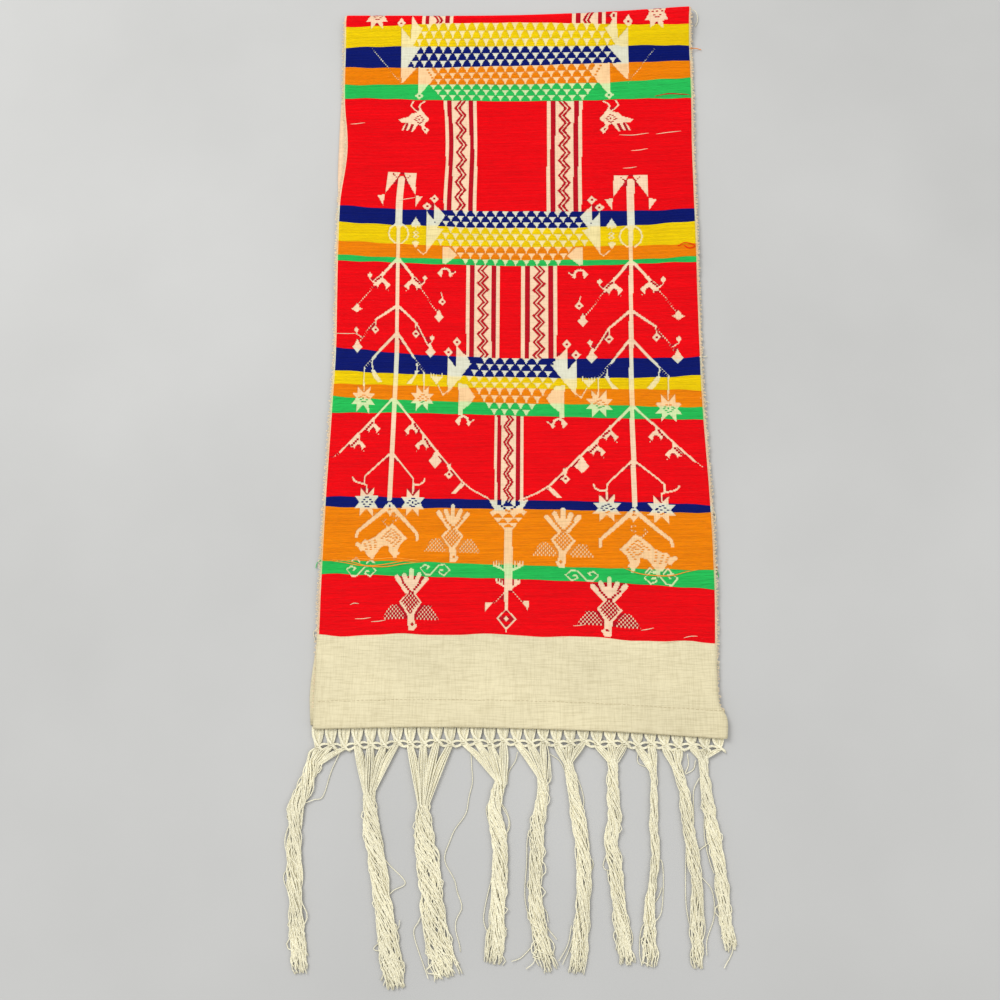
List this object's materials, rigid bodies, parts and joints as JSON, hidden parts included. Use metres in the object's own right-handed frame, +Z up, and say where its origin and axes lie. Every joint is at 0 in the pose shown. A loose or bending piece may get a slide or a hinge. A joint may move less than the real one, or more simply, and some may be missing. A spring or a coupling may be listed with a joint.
{
  "type": "woven table runner",
  "caption": "Woven table runner folded in half, lying flat, with a turned hem and a knotted fringe gathered into loose tassels.",
  "frame": {"origin": "middle of the footprint, on the surface that the folded runner lies on", "axes": "+Y along the cloth, from the fringe towards the fold; +Z up from the surface; +X to the right of the patterned side"},
  "size_m": [0.3984, 0.9932, 0.0094],
  "materials": {
    "cream_cotton": "matt plain-weave cotton with coloured pattern wefts",
    "fringe_yarn": "matt loosely twisted cotton yarn"
  },
  "bodies": {
    "root": {"runner_cloth": "cream_cotton", "knotted_fringe": "fringe_yarn"}
  },
  "joints": []
}
